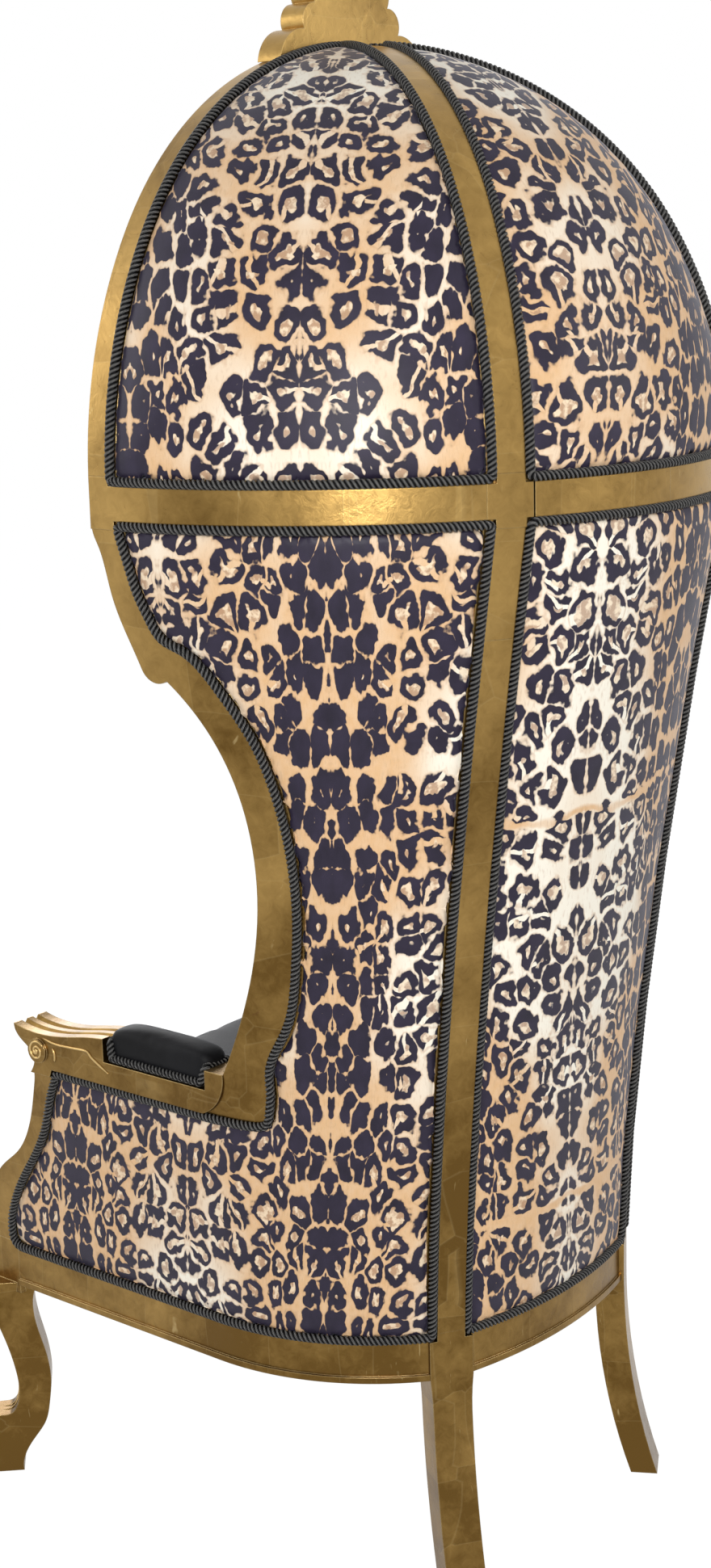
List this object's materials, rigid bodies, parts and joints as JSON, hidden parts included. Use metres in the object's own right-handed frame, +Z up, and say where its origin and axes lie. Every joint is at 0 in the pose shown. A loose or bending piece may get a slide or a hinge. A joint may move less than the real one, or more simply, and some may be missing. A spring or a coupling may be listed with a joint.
{
  "type": "hall porter chair",
  "caption": "Hooded hall porter chair with a gilded wood frame, domed canopy, leopard print outside panels, corded edges and a velvet lined inside.",
  "frame": {"origin": "on the floor, under the axis of the domed hood", "axes": "+Z up, -Y the way the chair faces, +X towards the sitter's left"},
  "size_m": [0.794, 0.8118, 1.79],
  "materials": {
    "gilt": "gold leaf over carved beech, rubbed",
    "beech": "plain sawn",
    "leopard": "printed leopard spots on a cream to tan ground",
    "cord": "black twisted cord",
    "velvet": "black cut velvet",
    "webbing": "jute webbing",
    "cambric": "black dust cloth"
  },
  "bodies": {
    "root": {"arch_left": "gilt", "arch_right": "gilt", "arm_pad_cord_left": "cord", "arm_pad_cord_right": "cord", "arm_pad_left": "velvet", "arm_pad_right": "velvet", "arm_rail_left": "gilt", "arm_rail_right": "gilt", "arm_stump_left": "gilt", "arm_stump_right": "gilt", "back_cord": "cord", "back_lining": "velvet", "back_panel": "leopard", "belt_back_left": "gilt", "belt_back_right": "gilt", "belt_side_left": "gilt", "belt_side_right": "gilt", "corner_blocks": "beech", "crest": "gilt", "crown_block": "beech", "dome_rib_left": "gilt", "dome_rib_right": "gilt", "dust_cover": "cambric", "front_leg_left": "gilt", "front_leg_right": "gilt", "hood_back_cord": "cord", "hood_back_panel": "leopard", "hood_lining": "velvet", "hood_side_cord_left": "cord", "hood_side_cord_right": "cord", "hood_side_panel_left": "leopard", "hood_side_panel_right": "leopard", "post_head_left": "gilt", "post_head_right": "gilt", "rear_post_left": "gilt", "rear_post_right": "gilt", "seat_pad": "velvet", "seat_rail_back": "gilt", "seat_rail_front": "gilt", "seat_rail_left": "gilt", "seat_rail_right": "gilt", "seat_webbing": "webbing", "side_cord_left": "cord", "side_cord_right": "cord", "side_lining_left": "velvet", "side_lining_right": "velvet", "side_panel_left": "leopard", "side_panel_right": "leopard", "wing_rail_left": "gilt", "wing_rail_right": "gilt"}
  },
  "joints": []
}
